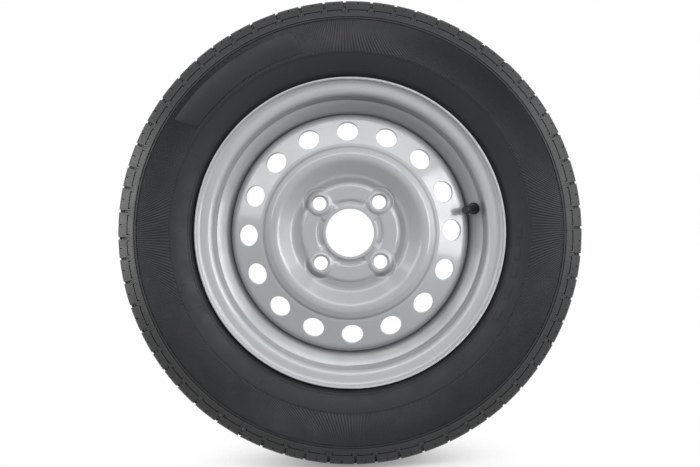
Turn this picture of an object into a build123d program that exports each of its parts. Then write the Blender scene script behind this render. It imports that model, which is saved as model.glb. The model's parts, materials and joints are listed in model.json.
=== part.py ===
from build123d import *
from math import cos, pi, radians, sin, sqrt, tan
import os

# A small trailer wheel: a pressed steel disc welded into a rolled steel rim, with a
# tubeless tyre and a snap-in valve. Lengths are in millimetres, angles in degrees.
# The axle is the Y axis, the origin is the wheel's centre and the outer face looks
# along -Y. Wheel sections are drawn with X as the radius and Y along the axle.

# Rim, rolled from one strip of sheet
rim_sheet = 2.8
rim_width = 101.6
bead_seat_diameter = 329.4
bead_seat_width = 19.0
bead_seat_angle = 5.0
heel_bend = 6.4
flange_height = 17.3
flange_bend = 6.0
flange_lip = 10.2
hump_height = 1.0
hump_width = 10.0
hump_start_bend = 6.0
hump_bend = 4.0
well_depth = 19.6
well_lean = 26.4
well_bend = 5.0

# Disc, pressed from flat sheet
disc_sheet = 3.5
disc_clearance = 0.1
wheel_offset = 30.0
centre_bore = 57.0
bore_lip_height = 10.5
bore_lip_bend = 3.75
bore_ring_width = 9.5
pad_ramp = 3.0
pad_lift = 2.2
pad_margin = 5.5
pad_bend = 3.0
seat_ring_width = 7.5
bowl_run = 20.5
bowl_rise = 10.75
bowl_bend = 8.0
crown_width = 9.0
crown_tilt = 0.5
crown_bend = 6.0
step_run = 6.0
step_drop = 4.5
step_bend = 3.5
band_slope = 20.0
shoulder_bend = 6.5
disc_flange_length = 26.0

# Bolt seats and vents in the disc
bolt_circle = 100.0
bolt_count = 4
bolt_hole = 16.0
cone_seat_diameter = 19.5
cone_seat_angle = 60.0
boss_diameter = 27.0
boss_foot_diameter = 33.0
boss_rise = 3.3
boss_recess_diameter = 23.0
boss_recess_depth = 2.4
socket_pocket_diameter = 41.0
vent_count = 16
vent_diameter = 25.5
vent_circle = 241.0

# Weld runs behind the disc's flange
weld_count = 8
weld_leg = 4.0
weld_length = 48.0
weld_face_radius = 6.0
weld_gap = 0.05

# Tyre
tyre_diameter = 557.0
sidewall_bulge = 10.0
tread_width = 97.0
tread_radius = 200.0
tread_thickness = 14.5
sidewall_thickness = 8.0
buttress_drop = 28.5
buttress_inset = 5.5
bead_width = 17.0
bead_height = 20.0
bead_thickness = 7.0
bead_clearance = 0.2
bead_heel_round = 6.5
bead_leave_angle = 45.0
inner_corner_drop = 4.5
inner_corner_inset = 8.0
groove_width = 8.0
groove_floor_width = 5.5
groove_depth = 7.0
groove_spacing = 24.0
slot_width = 3.0
slot_depth = 5.5
slot_groove_overlap = 2.0
slot_foot_drop = 22.0
slot_heel_inset = 5.0

# Shoulder blocks come in three lengths in an uneven order, so that the tread hums less
block_lengths = {"s": 5.1, "m": 6.0, "l": 6.8}
block_order = "smmlmssmllmmsml" * 4
inner_block_turn = 3.0

# Valve: places along it are counted from the middle of the rim's sheet, outwards
valve_turn = 9.7
valve_hole = 11.3
valve_clearance = 0.1
button_diameter = 16.0
button_depth = 7.6
button_edge = 1.9
button_end_diameter = 10.4
bulge_diameter = 14.4
bulge_height = 1.8
body_waist_diameter = 11.2
body_waist_height = 6.0
body_tip_diameter = 9.4
body_length = 21.0
bond_gap = 0.05
stem_length = 29.5
stem_tail_diameter = 6.0
stem_sleeve_diameter = 7.2
stem_sleeve_start = 11.0
stem_thread_diameter = 7.7
stem_taper = 1.2
air_bore = 3.8
core_bore = 5.1
core_cone_start = 14.0
core_cone_length = 3.0

# Valve core
core_gap = 0.05
plug_length = 3.2
plug_recess = 0.5
plug_bridge_width = 2.0
plug_bridge_height = 1.4
barrel_diameter = 3.8
barrel_nose_diameter = 2.9
barrel_nose_length = 5.1
barrel_nose_start = 13.2
spring_bore = 2.5
barrel_floor = 2.0
pin_diameter = 1.5
pin_running_gap = 0.08
pin_recess = 0.3
pin_collar_diameter = 2.2
pin_collar_length = 0.9
pin_collar_drop = 0.5
pin_cup_diameter = 3.1
pin_cup_length = 1.5
seat_seal_length = 0.75
spring_wire = 0.3
spring_turns = 6

# Cap
cap_gap = 0.3
cap_thread_gap = 0.1
cap_base_diameter = 9.8
cap_top_diameter = 7.4
cap_wall_height = 9.6
cap_roof = 2.6
cap_edge_round = 1.2
cap_seal_thickness = 1.0
cap_seal_hole = 3.2


def section_plane(angle):
    """The half plane through the axle that is turned by an angle from +X towards +Z."""
    across = Vector(cos(radians(angle)), 0, sin(radians(angle)))
    return Plane(origin=(0, 0, 0), x_dir=across, z_dir=across.cross(Vector(0, 1, 0)))


# Rim: the middle of the sheet is drawn from lip to lip, and the sheet follows it
half_width = rim_width / 2
bead_seat_radius = bead_seat_diameter / 2
flange_radius = bead_seat_radius + flange_height
flange_face = half_width + rim_sheet / 2
heel_radius = bead_seat_radius - rim_sheet / 2
seat_slope = tan(radians(bead_seat_angle))
seat_end = half_width - bead_seat_width
seat_end_radius = heel_radius - (flange_face - seat_end) * seat_slope
hump_top = seat_end - hump_width
hump_radius = seat_end_radius + hump_height
well_radius = bead_seat_radius - well_depth - rim_sheet / 2
well_half = hump_top - (hump_radius - well_radius) * tan(radians(well_lean))
lip_radius = flange_radius - rim_sheet / 2

outer_half = [
    (lip_radius, -(half_width + flange_lip - rim_sheet / 2)),
    (lip_radius, -flange_face),
    (heel_radius, -flange_face),
    (seat_end_radius, -seat_end),
    (hump_radius, -hump_top),
    (well_radius, -well_half),
]
inner_half = [(radius, -place) for radius, place in reversed(outer_half)]
half_bends = [flange_bend, heel_bend, hump_start_bend, hump_bend, well_bend]

# The valve sits square on the well's outer wall, halfway up it
wall_middle_radius = (hump_radius + well_radius) / 2
wall_middle_place = -(hump_top + well_half) / 2
valve_out = section_plane(valve_turn).x_dir
valve_seat = valve_out * wall_middle_radius + Vector(0, wall_middle_place, 0)
valve_direction = valve_out * -sin(radians(well_lean)) + Vector(0, -cos(radians(well_lean)), 0)
valve_across = valve_out * cos(radians(well_lean)) + Vector(0, -sin(radians(well_lean)), 0)
valve_plane = Plane(origin=valve_seat, x_dir=valve_across, z_dir=valve_direction)
valve_section = Plane(
    origin=valve_seat, x_dir=valve_across, z_dir=valve_across.cross(valve_direction)
)
valve_axis = Axis(valve_seat, valve_direction)

with BuildPart() as rim:
    with BuildSketch():
        with BuildLine():
            FilletPolyline(*outer_half, *inner_half, radius=half_bends + half_bends[::-1])
            offset(amount=rim_sheet / 2, side=Side.BOTH)
        make_face()
    revolve(axis=Axis.Y)
    with BuildSketch(valve_plane):
        Circle(valve_hole / 2)
    extrude(amount=rim_sheet, both=True, mode=Mode.SUBTRACT)
rim.part.label = "rim"

# Disc: lifts are counted from the rings that bear on the hub
bore_radius = centre_bore / 2
bolt_radius = bolt_circle / 2
lip_ring_radius = bore_radius + disc_sheet / 2
pad_foot_inner = bore_radius + bore_ring_width
pad_outer = bolt_radius + pad_margin
pad_foot_outer = pad_outer + pad_ramp
bowl_foot = pad_foot_outer + seat_ring_width
crown_inner = bowl_foot + bowl_run
crown_outer = crown_inner + crown_width
crease_radius = crown_outer + step_run
crease_lift = bowl_rise + crown_tilt - step_drop
disc_flange_radius = well_radius - rim_sheet / 2 - disc_clearance - disc_sheet / 2
band_fall = (disc_flange_radius - crease_radius) * tan(radians(band_slope))
disc_flange_end = disc_flange_length - wheel_offset - disc_sheet / 2 - crease_lift + band_fall


def disc_point(radius, lift):
    """A point on the middle of the disc's sheet, lifted outwards from the bearing rings."""
    return (radius, -(wheel_offset + disc_sheet / 2 + lift))


disc_path = [
    disc_point(lip_ring_radius, bore_lip_height - disc_sheet),
    disc_point(lip_ring_radius, 0),
    disc_point(pad_foot_inner, 0),
    disc_point(pad_foot_inner + pad_ramp, pad_lift),
    disc_point(pad_outer, pad_lift),
    disc_point(pad_foot_outer, 0),
    disc_point(bowl_foot, 0),
    disc_point(crown_inner, bowl_rise),
    disc_point(crown_outer, bowl_rise + crown_tilt),
    disc_point(crease_radius, crease_lift),
    disc_point(disc_flange_radius, crease_lift - band_fall),
    (disc_flange_radius, disc_flange_end),
]
disc_bends = [
    bore_lip_bend,
    pad_bend,
    pad_bend,
    pad_bend,
    pad_bend,
    bowl_bend,
    crown_bend,
    crown_bend,
    step_bend,
    shoulder_bend,
]

ring_front = wheel_offset + disc_sheet
pad_front = ring_front + pad_lift
boss_front = pad_front + boss_rise
vent_radius = vent_circle / 2
vent_place = -(wheel_offset + disc_sheet / 2 + crease_lift)
vent_place += (vent_radius - crease_radius) * tan(radians(band_slope))
vent_planes = []
for vent in range(vent_count):
    out = section_plane(vent * 360 / vent_count).x_dir
    square_to_band = out * sin(radians(band_slope)) + Vector(0, -cos(radians(band_slope)), 0)
    vent_planes.append(Plane(out * vent_radius + Vector(0, vent_place, 0), z_dir=square_to_band))

with BuildPart() as disc:
    with BuildSketch():
        with BuildLine():
            FilletPolyline(*disc_path, radius=disc_bends)
            offset(amount=disc_sheet / 2, side=Side.BOTH)
        make_face()
    revolve(axis=Axis.Y)
    split(bisect_by=Plane.XZ.offset(-disc_flange_end), keep=Keep.TOP)
    # Socket pockets bite into the foot of the bowl's wall, down to the ring's face
    with BuildSketch(Plane.XZ.offset(ring_front)):
        with PolarLocations(bolt_radius, bolt_count, start_angle=180 / bolt_count):
            Circle(socket_pocket_diameter / 2)
    extrude(amount=bowl_rise, mode=Mode.SUBTRACT)
    # Raised bolt seats, hollow behind, with a cone for the bolt's head
    boss_height = boss_front - ring_front + disc_sheet / 2
    with Locations(Plane.XZ.offset(ring_front - disc_sheet / 2)):
        with PolarLocations(bolt_radius, bolt_count, start_angle=180 / bolt_count):
            Cone(
                boss_foot_diameter / 2,
                boss_diameter / 2,
                boss_height,
                align=(Align.CENTER, Align.CENTER, Align.MIN),
            )
    with BuildSketch(Plane.XZ.offset(pad_front - disc_sheet + boss_recess_depth)):
        with PolarLocations(bolt_radius, bolt_count, start_angle=180 / bolt_count):
            Circle(boss_recess_diameter / 2)
    extrude(amount=-(boss_recess_depth + pad_lift + disc_sheet), mode=Mode.SUBTRACT)
    with Locations(Plane.XZ.offset(boss_front)):
        with PolarLocations(bolt_radius, bolt_count, start_angle=180 / bolt_count):
            CounterSinkHole(
                bolt_hole / 2, cone_seat_diameter / 2, counter_sink_angle=cone_seat_angle
            )
    # Vents, punched square to the sloping band
    with BuildSketch(*vent_planes):
        Circle(vent_diameter / 2)
    extrude(amount=2 * disc_sheet, both=True, mode=Mode.SUBTRACT)
disc.part.label = "disc"

# Weld runs join the flange's inner end to the well
weld_outer = well_radius - rim_sheet / 2 - weld_gap
weld_start = disc_flange_end + weld_gap
weld_arc = weld_length / weld_outer * 180 / pi
with BuildPart() as weld_beads:
    for run in range(weld_count):
        with BuildSketch(section_plane((run + 0.5) * 360 / weld_count + weld_arc / 2)):
            with BuildLine():
                foot = Line((weld_outer - weld_leg, weld_start), (weld_outer, weld_start))
                Line(foot @ 1, (weld_outer, weld_start + weld_leg))
                RadiusArc(foot @ 0, (weld_outer, weld_start + weld_leg), -weld_face_radius)
            make_face()
        revolve(axis=Axis.Y, revolution_arc=weld_arc)
weld_beads.part.label = "weld_beads"

# Tyre: half of its section is drawn from the bead's toe to the crown and mirrored
tyre_radius = tyre_diameter / 2
section_half = half_width + flange_lip + sidewall_bulge
tread_half = tread_width / 2


def crown_radius(place):
    """The tread's radius at a place across it."""
    return tyre_radius - tread_radius + sqrt(tread_radius**2 - place**2)


def bead_base(place):
    """The bead's inner radius at a place across the rim, just clear of the bead seat."""
    seat = heel_radius + rim_sheet / 2 / cos(radians(bead_seat_angle)) + bead_clearance
    return seat - (flange_face - place) * seat_slope


bead_toe = (bead_base(half_width - bead_width), -(half_width - bead_width))
bead_heel_place = half_width - bead_clearance
bead_heel = (bead_base(bead_heel_place), -bead_heel_place)
bend_centre = (lip_radius - flange_bend, -(flange_face + flange_bend))
bead_bend = flange_bend + rim_sheet / 2 + bead_clearance
buttress_radius = tyre_radius - buttress_drop
buttress_place = -(section_half - buttress_inset)
widest_radius = (flange_radius + buttress_radius) / 2
tread_edge = (crown_radius(tread_half), -tread_half)
inner_crown = tyre_radius - tread_thickness
inner_corner = (inner_crown - inner_corner_drop, -(tread_half - inner_corner_inset))
bead_shoulder = (bead_heel[0] + bead_height, -(half_width - bead_thickness))

# Slots run out of the outer grooves, over the tread's edge and down the buttress
slot_start = groove_spacing + groove_width / 2 - slot_groove_overlap
slot_foot_radius = tyre_radius - slot_foot_drop
slot_foot_share = (slot_foot_radius - buttress_radius) / (tread_edge[0] - buttress_radius)
slot_foot_place = buttress_place + slot_foot_share * (tread_edge[1] - buttress_place)
slot_outline = [
    (crown_radius(slot_start) - slot_depth, -slot_start),
    (tread_edge[0] - slot_depth, -(tread_half - slot_heel_inset)),
    (slot_foot_radius, slot_foot_place),
    (slot_foot_radius, -section_half),
    (tyre_radius + slot_depth, -section_half),
    (tyre_radius + slot_depth, -slot_start),
]
block_unit = 360 / sum(block_lengths[kind] for kind in block_order)
slot_turns = []
slot_turn = 0
for kind in block_order:
    slot_turns.append(slot_turn)
    slot_turn += block_lengths[kind] * block_unit

with BuildPart() as tyre:
    with BuildSketch():
        with BuildLine():
            FilletPolyline(
                bead_toe, bead_heel, (bend_centre[0], -bead_heel_place), radius=bead_heel_round
            )
            bend = CenterArc(bend_centre, bead_bend, 90, -bead_leave_angle)
            lower = TangentArc(bend @ 1, (widest_radius, -section_half), tangent=bend % 1)
            upper = TangentArc(lower @ 1, (buttress_radius, buttress_place), tangent=lower % 1)
            Line(upper @ 1, tread_edge)
            crown = ThreePointArc(
                tread_edge,
                (crown_radius(tread_half / 2), -tread_half / 2),
                (tyre_radius, 0),
            )
            middle = Line(crown @ 1, (inner_crown, 0))
            lining = TangentArc(middle @ 1, inner_corner, tangent=(0, -1))
            inner_side = ThreePointArc(
                lining @ 1, (widest_radius, -(section_half - sidewall_thickness)), bead_shoulder
            )
            Line(inner_side @ 1, bead_toe)
        make_face()
        mirror(about=Plane.XZ)
    revolve(axis=Axis.Y)
    # Grooves around the tread
    with BuildSketch():
        for place in (-groove_spacing, 0, groove_spacing):
            floor = crown_radius(place) - groove_depth
            with BuildLine():
                Polyline(
                    (floor, place - groove_floor_width / 2),
                    (floor + groove_depth, place - groove_width / 2),
                    (floor + 2 * groove_depth, place - groove_width / 2),
                    (floor + 2 * groove_depth, place + groove_width / 2),
                    (floor + groove_depth, place + groove_width / 2),
                    (floor, place + groove_floor_width / 2),
                    close=True,
                )
            make_face()
    revolve(axis=Axis.Y, mode=Mode.SUBTRACT)
    # Slots between the shoulder blocks, on both sides
    with BuildSketch(*[section_plane(turn) for turn in slot_turns]):
        with BuildLine():
            Polyline(*slot_outline, close=True)
        make_face()
    extrude(amount=slot_width / 2, both=True, mode=Mode.SUBTRACT)
    with BuildSketch(*[section_plane(turn + inner_block_turn) for turn in slot_turns]):
        with BuildLine():
            Polyline(*[(radius, -place) for radius, place in slot_outline], close=True)
        make_face()
    extrude(amount=slot_width / 2, both=True, mode=Mode.SUBTRACT)
tyre.part.label = "tyre"

# Valve body: rubber, snapped into the rim's hole and bonded to the brass stem
sheet_face = rim_sheet / 2 + valve_clearance
sleeve_gap = stem_sleeve_diameter / 2 + bond_gap
tail_gap = stem_tail_diameter / 2 + bond_gap
with BuildPart() as valve_body:
    with BuildSketch(valve_section):
        with BuildLine():
            Polyline(
                (tail_gap, -(sheet_face + button_depth)),
                (button_end_diameter / 2, -(sheet_face + button_depth)),
                (button_diameter / 2, -(sheet_face + button_edge)),
                (button_diameter / 2, -sheet_face),
                (valve_hole / 2 - valve_clearance, -sheet_face),
                (valve_hole / 2 - valve_clearance, sheet_face),
                (bulge_diameter / 2, sheet_face),
                (bulge_diameter / 2, sheet_face + bulge_height),
                (body_waist_diameter / 2, sheet_face + body_waist_height),
                (body_tip_diameter / 2, body_length),
                (sleeve_gap, body_length),
                (sleeve_gap, stem_sleeve_start),
                (tail_gap, stem_sleeve_start - stem_taper),
                close=True,
            )
        make_face()
    revolve(axis=valve_axis)
valve_body.part.label = "valve_body"

# Valve stem: a brass tube with a thread for the cap outside and a seat for the core inside
core_cone_end = core_cone_start + core_cone_length
stem_root = -(sheet_face + button_depth)
with BuildPart() as valve_stem:
    with BuildSketch(valve_section):
        with BuildLine():
            Polyline(
                (air_bore / 2, stem_root),
                (stem_tail_diameter / 2, stem_root),
                (stem_tail_diameter / 2, stem_sleeve_start - stem_taper),
                (stem_sleeve_diameter / 2, stem_sleeve_start),
                (stem_sleeve_diameter / 2, body_length),
                (stem_thread_diameter / 2, body_length + bond_gap),
                (stem_thread_diameter / 2, stem_length),
                (core_bore / 2, stem_length),
                (core_bore / 2, core_cone_end),
                (air_bore / 2, core_cone_start),
                close=True,
            )
        make_face()
    revolve(axis=valve_axis)
valve_stem.part.label = "valve_stem"

# Core plug: a threaded collar with a bridge across its top for the core key
plug_top = stem_length - plug_recess
plug_foot = plug_top - plug_length
pin_hole = pin_diameter / 2 + pin_running_gap
with BuildPart() as core_plug:
    with BuildSketch(valve_plane.offset(plug_foot)):
        Circle(core_bore / 2 - core_gap)
        Circle(pin_hole, mode=Mode.SUBTRACT)
    extrude(amount=plug_length)
    with BuildSketch(valve_plane.offset(plug_top)):
        Circle(core_bore / 2)
        Rectangle(core_bore, plug_bridge_width, mode=Mode.SUBTRACT)
    extrude(amount=-plug_bridge_height, mode=Mode.SUBTRACT)
core_plug.part.label = "core_plug"

# Core barrel: hangs under the plug, and its nose carries the ring that seals in the cone
barrel_top = plug_foot - core_gap
nose_top = barrel_nose_start + barrel_nose_length
chamber_floor = barrel_nose_start + barrel_floor
with BuildPart() as core_barrel:
    with BuildSketch(valve_section):
        with BuildLine():
            Polyline(
                (pin_hole, barrel_nose_start),
                (barrel_nose_diameter / 2, barrel_nose_start),
                (barrel_nose_diameter / 2, nose_top),
                (barrel_diameter / 2, nose_top),
                (barrel_diameter / 2, barrel_top),
                (spring_bore / 2, barrel_top),
                (spring_bore / 2, chamber_floor),
                (pin_hole, chamber_floor),
                close=True,
            )
        make_face()
    revolve(axis=valve_axis)
core_barrel.part.label = "core_barrel"

with BuildPart() as core_barrel_seal:
    with BuildSketch(valve_section):
        with BuildLine():
            Polyline(
                (barrel_nose_diameter / 2 + core_gap, core_cone_start),
                (air_bore / 2 - core_gap, core_cone_start),
                (core_bore / 2 - core_gap, core_cone_end),
                (core_bore / 2 - core_gap, nose_top - core_gap),
                (barrel_nose_diameter / 2 + core_gap, nose_top - core_gap),
                close=True,
            )
        make_face()
    revolve(axis=valve_axis)
core_barrel_seal.part.label = "core_barrel_seal"

# Core pin: pressed in from outside, it lifts its cup and the seal off the barrel's nose
pin_tip = plug_top - pin_recess
collar_top = barrel_top - pin_collar_drop
collar_foot = collar_top - pin_collar_length
seal_top = barrel_nose_start - core_gap
cup_top = seal_top - seat_seal_length - core_gap
with BuildPart() as core_pin:
    with BuildSketch(valve_section):
        with BuildLine():
            Polyline(
                (0, cup_top - pin_cup_length),
                (pin_cup_diameter / 2, cup_top - pin_cup_length),
                (pin_cup_diameter / 2, cup_top),
                (pin_diameter / 2, cup_top),
                (pin_diameter / 2, collar_foot),
                (pin_collar_diameter / 2, collar_foot),
                (pin_collar_diameter / 2, collar_top),
                (pin_diameter / 2, collar_top),
                (pin_diameter / 2, pin_tip),
                (0, pin_tip),
                close=True,
            )
        make_face()
    revolve(axis=valve_axis)
core_pin.part.label = "core_pin"

with BuildPart() as core_seat_seal:
    with BuildSketch(valve_plane.offset(cup_top + core_gap)):
        Circle(pin_cup_diameter / 2 - core_gap)
        Circle(pin_diameter / 2 + core_gap, mode=Mode.SUBTRACT)
    extrude(amount=seat_seal_length)
core_seat_seal.part.label = "core_seat_seal"

# Core spring: stands on the chamber's floor and pushes the pin's collar outwards
spring_radius = (spring_bore + pin_diameter) / 4
spring_foot = chamber_floor + spring_wire / 2 + core_gap
spring_height = collar_foot - core_gap - spring_wire / 2 - spring_foot
with BuildPart() as core_spring:
    with BuildLine() as coil:
        Helix(
            pitch=spring_height / spring_turns,
            height=spring_height,
            radius=spring_radius,
            center=valve_seat + valve_direction * spring_foot,
            direction=valve_direction,
        )
    with BuildSketch(Plane(origin=coil.line @ 0, z_dir=coil.line % 0)):
        Circle(spring_wire / 2)
    sweep(path=coil.line, is_frenet=True)
core_spring.part.label = "core_spring"

# Cap: a moulded thimble with a sealing washer under its roof
cap_foot = body_length + cap_gap
cap_inner = stem_thread_diameter / 2 + cap_thread_gap
washer_foot = stem_length + core_gap
washer_top = washer_foot + cap_seal_thickness
cap_roof_inside = washer_top + core_gap
with BuildPart() as valve_cap:
    with BuildSketch(valve_section):
        with BuildLine():
            Polyline(
                (cap_inner, cap_foot),
                (cap_base_diameter / 2, cap_foot),
                (cap_base_diameter / 2, cap_foot + cap_wall_height),
                (cap_top_diameter / 2, cap_roof_inside + cap_roof),
                (0, cap_roof_inside + cap_roof),
                (0, cap_roof_inside),
                (cap_inner, cap_roof_inside),
                close=True,
            )
        make_face()
    revolve(axis=valve_axis)
    cap_rims = valve_cap.edges().filter_by(GeomType.CIRCLE).sort_by(valve_axis)
    fillet(cap_rims[-2:], cap_edge_round)
valve_cap.part.label = "valve_cap"

with BuildPart() as cap_seal:
    with BuildSketch(valve_plane.offset(washer_foot)):
        Circle(cap_inner - cap_thread_gap)
        Circle(cap_seal_hole / 2, mode=Mode.SUBTRACT)
    extrude(amount=cap_seal_thickness)
cap_seal.part.label = "cap_seal"

os.makedirs("parts", exist_ok=True)
export_step(tyre.part, "parts/tyre.step")
export_step(rim.part, "parts/rim.step")
export_step(disc.part, "parts/disc.step")
export_step(weld_beads.part, "parts/weld_beads.step")
export_step(valve_body.part, "parts/valve_body.step")
export_step(valve_stem.part, "parts/valve_stem.step")
export_step(core_plug.part, "parts/core_plug.step")
export_step(core_barrel.part, "parts/core_barrel.step")
export_step(core_barrel_seal.part, "parts/core_barrel_seal.step")
export_step(core_pin.part, "parts/core_pin.step")
export_step(core_seat_seal.part, "parts/core_seat_seal.step")
export_step(core_spring.part, "parts/core_spring.step")
export_step(valve_cap.part, "parts/valve_cap.step")
export_step(cap_seal.part, "parts/cap_seal.step")
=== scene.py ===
# %% [markdown]
# # A trailer wheel with its tyre
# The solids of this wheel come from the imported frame, at their real size and place. This
# lesson dresses them. It models what the solids leave plain, such as the tyre's ribbed
# sides, the blocks of its tread and the soft edges of the pressed disc, and it gives every
# piece the finish of the real one. Lengths are in metres. The axle is the Y axis, the
# wheel's centre is the origin, and the face that the photo shows looks along -Y.

import json
from math import asin, atan2, ceil, cos, hypot, log, pi, radians, sin, sqrt, tan

import bpy
from mathutils import Matrix, Vector
from mathutils.geometry import delaunay_2d_cdt


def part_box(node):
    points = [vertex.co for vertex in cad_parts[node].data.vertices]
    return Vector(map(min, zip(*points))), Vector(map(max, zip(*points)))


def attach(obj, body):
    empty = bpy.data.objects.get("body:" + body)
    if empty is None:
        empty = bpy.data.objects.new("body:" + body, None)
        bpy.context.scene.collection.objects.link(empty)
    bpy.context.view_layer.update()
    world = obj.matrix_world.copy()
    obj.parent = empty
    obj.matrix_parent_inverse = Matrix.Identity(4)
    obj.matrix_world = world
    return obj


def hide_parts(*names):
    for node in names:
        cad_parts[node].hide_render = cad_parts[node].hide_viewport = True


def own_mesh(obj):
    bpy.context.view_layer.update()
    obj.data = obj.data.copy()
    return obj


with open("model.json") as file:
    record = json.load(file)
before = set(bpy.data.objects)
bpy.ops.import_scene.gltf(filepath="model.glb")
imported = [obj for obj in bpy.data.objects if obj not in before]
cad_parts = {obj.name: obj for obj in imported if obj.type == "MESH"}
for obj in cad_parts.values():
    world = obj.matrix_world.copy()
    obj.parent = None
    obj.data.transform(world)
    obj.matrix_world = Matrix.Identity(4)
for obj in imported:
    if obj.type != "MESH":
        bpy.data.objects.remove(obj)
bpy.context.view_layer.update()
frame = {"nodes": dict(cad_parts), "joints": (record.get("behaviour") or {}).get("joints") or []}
nodes = frame["nodes"]
scene = bpy.context.scene
mm = 0.001
tyre_radius = round(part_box("tyre")[1].z, 4)
flange_radius = round(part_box("rim")[1].z, 4)
print(f"tyre radius {tyre_radius} m, rim flange radius {flange_radius} m")

# %% [markdown]
# ## Camera
# The photo looks straight at the wheel. The sizes of its near and far rings give the
# distance, about 1.27 m, and the outline of the tyre then gives the lens. The real wheel
# stands turned by a little over a degree, so here the camera is rolled instead, and the
# wheel keeps the place that its solids have.

# %% Camera
picture_width = 700
focal_pixels = 1034
sensor_width = 36
camera_distance = 1.265
camera_drop = 0.9 * mm
wheel_turn = radians(1.4)

bpy.ops.object.camera_add(
    location=(0, -camera_distance, -camera_drop), rotation=(pi / 2, wheel_turn, 0)
)
camera = bpy.context.object
camera.name = "photo_camera"
camera.data.sensor_width = sensor_width
camera.data.lens = focal_pixels * sensor_width / picture_width
scene.camera = camera
print(f"camera lens {camera.data.lens:.1f} mm")

# %% [markdown]
# ## Floor, backdrop and light
# The photo shows the wheel on pure white. The clear coat mirrors the soft boxes that lit
# it, so the bright arcs on the band, the crown and the rim tell where each one stood: two
# on the right, two on the left and one above. The world is white where the camera or a
# reflection looks at it. Where it only lights the wheel, it is a dim dome, darker below.
# The pale floor keeps the shadow under the wheel and fades out into the white world
# further away, so that no edge shows. An area lamp is a soft box: the larger it is, the
# softer its shadows and the broader its mirrored arc.

# %% Floor
floor_size = 3.0
floor_pale = (0.86, 0.86, 0.87, 1)
floor_rough = 0.8
floor_glow = 0.25
fade_start = 0.04
fade_end = 0.22


def seen_rays(tree):
    """A value that is 1 for rays that are seen, straight, mirrored or through glass, and 0
    for rays that only carry light."""
    path = tree.nodes.new("ShaderNodeLightPath")
    found = path.outputs["Is Camera Ray"]
    for kind in ("Is Glossy Ray", "Is Transmission Ray"):
        either = tree.nodes.new("ShaderNodeMath")
        either.operation = "MAXIMUM"
        tree.links.new(found, either.inputs[0])
        tree.links.new(path.outputs[kind], either.inputs[1])
        found = either.outputs[0]
    return found


bpy.ops.object.select_all(action="DESELECT")
bpy.ops.mesh.primitive_grid_add(
    x_subdivisions=4, y_subdivisions=4, size=floor_size, location=(0, 0, -tyre_radius)
)
floor = bpy.context.object
floor.name = "floor"
floor_finish = bpy.data.materials.new("floor_pale")
floor_finish.use_nodes = True
tree = floor_finish.node_tree
floor_shader = tree.nodes["Principled BSDF"]
floor_shader.inputs["Base Color"].default_value = floor_pale
floor_shader.inputs["Roughness"].default_value = floor_rough
floor_shader.inputs["Emission Color"].default_value = (1, 1, 1, 1)
glow = tree.nodes.new("ShaderNodeMapRange")
glow.inputs["To Max"].default_value = floor_glow
tree.links.new(seen_rays(tree), glow.inputs["Value"])
tree.links.new(glow.outputs["Result"], floor_shader.inputs["Emission Strength"])
floor_place = tree.nodes.new("ShaderNodeTexCoord")
floor_reach = tree.nodes.new("ShaderNodeVectorMath")
floor_reach.operation = "LENGTH"
tree.links.new(floor_place.outputs["Object"], floor_reach.inputs[0])
floor_fade = tree.nodes.new("ShaderNodeMapRange")
floor_fade.interpolation_type = "SMOOTHSTEP"
floor_fade.inputs["From Min"].default_value = fade_start
floor_fade.inputs["From Max"].default_value = fade_end
tree.links.new(floor_reach.outputs["Value"], floor_fade.inputs["Value"])
see_through = tree.nodes.new("ShaderNodeBsdfTransparent")
floor_mix = tree.nodes.new("ShaderNodeMixShader")
tree.links.new(floor_fade.outputs["Result"], floor_mix.inputs["Fac"])
tree.links.new(floor_shader.outputs[0], floor_mix.inputs[1])
tree.links.new(see_through.outputs[0], floor_mix.inputs[2])
tree.links.new(floor_mix.outputs[0], tree.nodes["Material Output"].inputs["Surface"])
floor.data.materials.append(floor_finish)
print(f"floor at {-tyre_radius} m, fading out from {fade_start} to {fade_end} m")

# %% World
light_above = 0.42
light_below = 0.03
dome_foot = -0.5
dome_top = 0.7

world = bpy.data.worlds.new("studio")
world.use_nodes = True
scene.world = world
tree = world.node_tree
ground = tree.nodes["Background"]
ground.inputs["Color"].default_value = (1, 1, 1, 1)
heading = tree.nodes.new("ShaderNodeTexCoord")
height = tree.nodes.new("ShaderNodeSeparateXYZ")
tree.links.new(heading.outputs["Generated"], height.inputs[0])
dome = tree.nodes.new("ShaderNodeMapRange")
dome.inputs["From Min"].default_value = dome_foot
dome.inputs["From Max"].default_value = dome_top
dome.inputs["To Min"].default_value = light_below
dome.inputs["To Max"].default_value = light_above
tree.links.new(height.outputs["Z"], dome.inputs["Value"])
strength = tree.nodes.new("ShaderNodeMapRange")
strength.inputs["To Max"].default_value = 1.0
tree.links.new(seen_rays(tree), strength.inputs["Value"])
tree.links.new(dome.outputs["Result"], strength.inputs["To Min"])
tree.links.new(strength.outputs["Result"], ground.inputs["Strength"])
scene.view_settings.view_transform = "Standard"
print("world white for camera and reflections")

# %% Lamps
def soft_box(name, place, target, width, height, power):
    """An area lamp at a place, turned towards a target."""
    bpy.ops.object.light_add(type="AREA", location=place)
    lamp = bpy.context.object
    lamp.name = name
    lamp.data.shape = "RECTANGLE"
    lamp.data.size = width
    lamp.data.size_y = height
    lamp.data.energy = power
    aim = Vector(target) - Vector(place)
    lamp.rotation_euler = aim.to_track_quat("-Z", "Y").to_euler()
    return lamp


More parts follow.
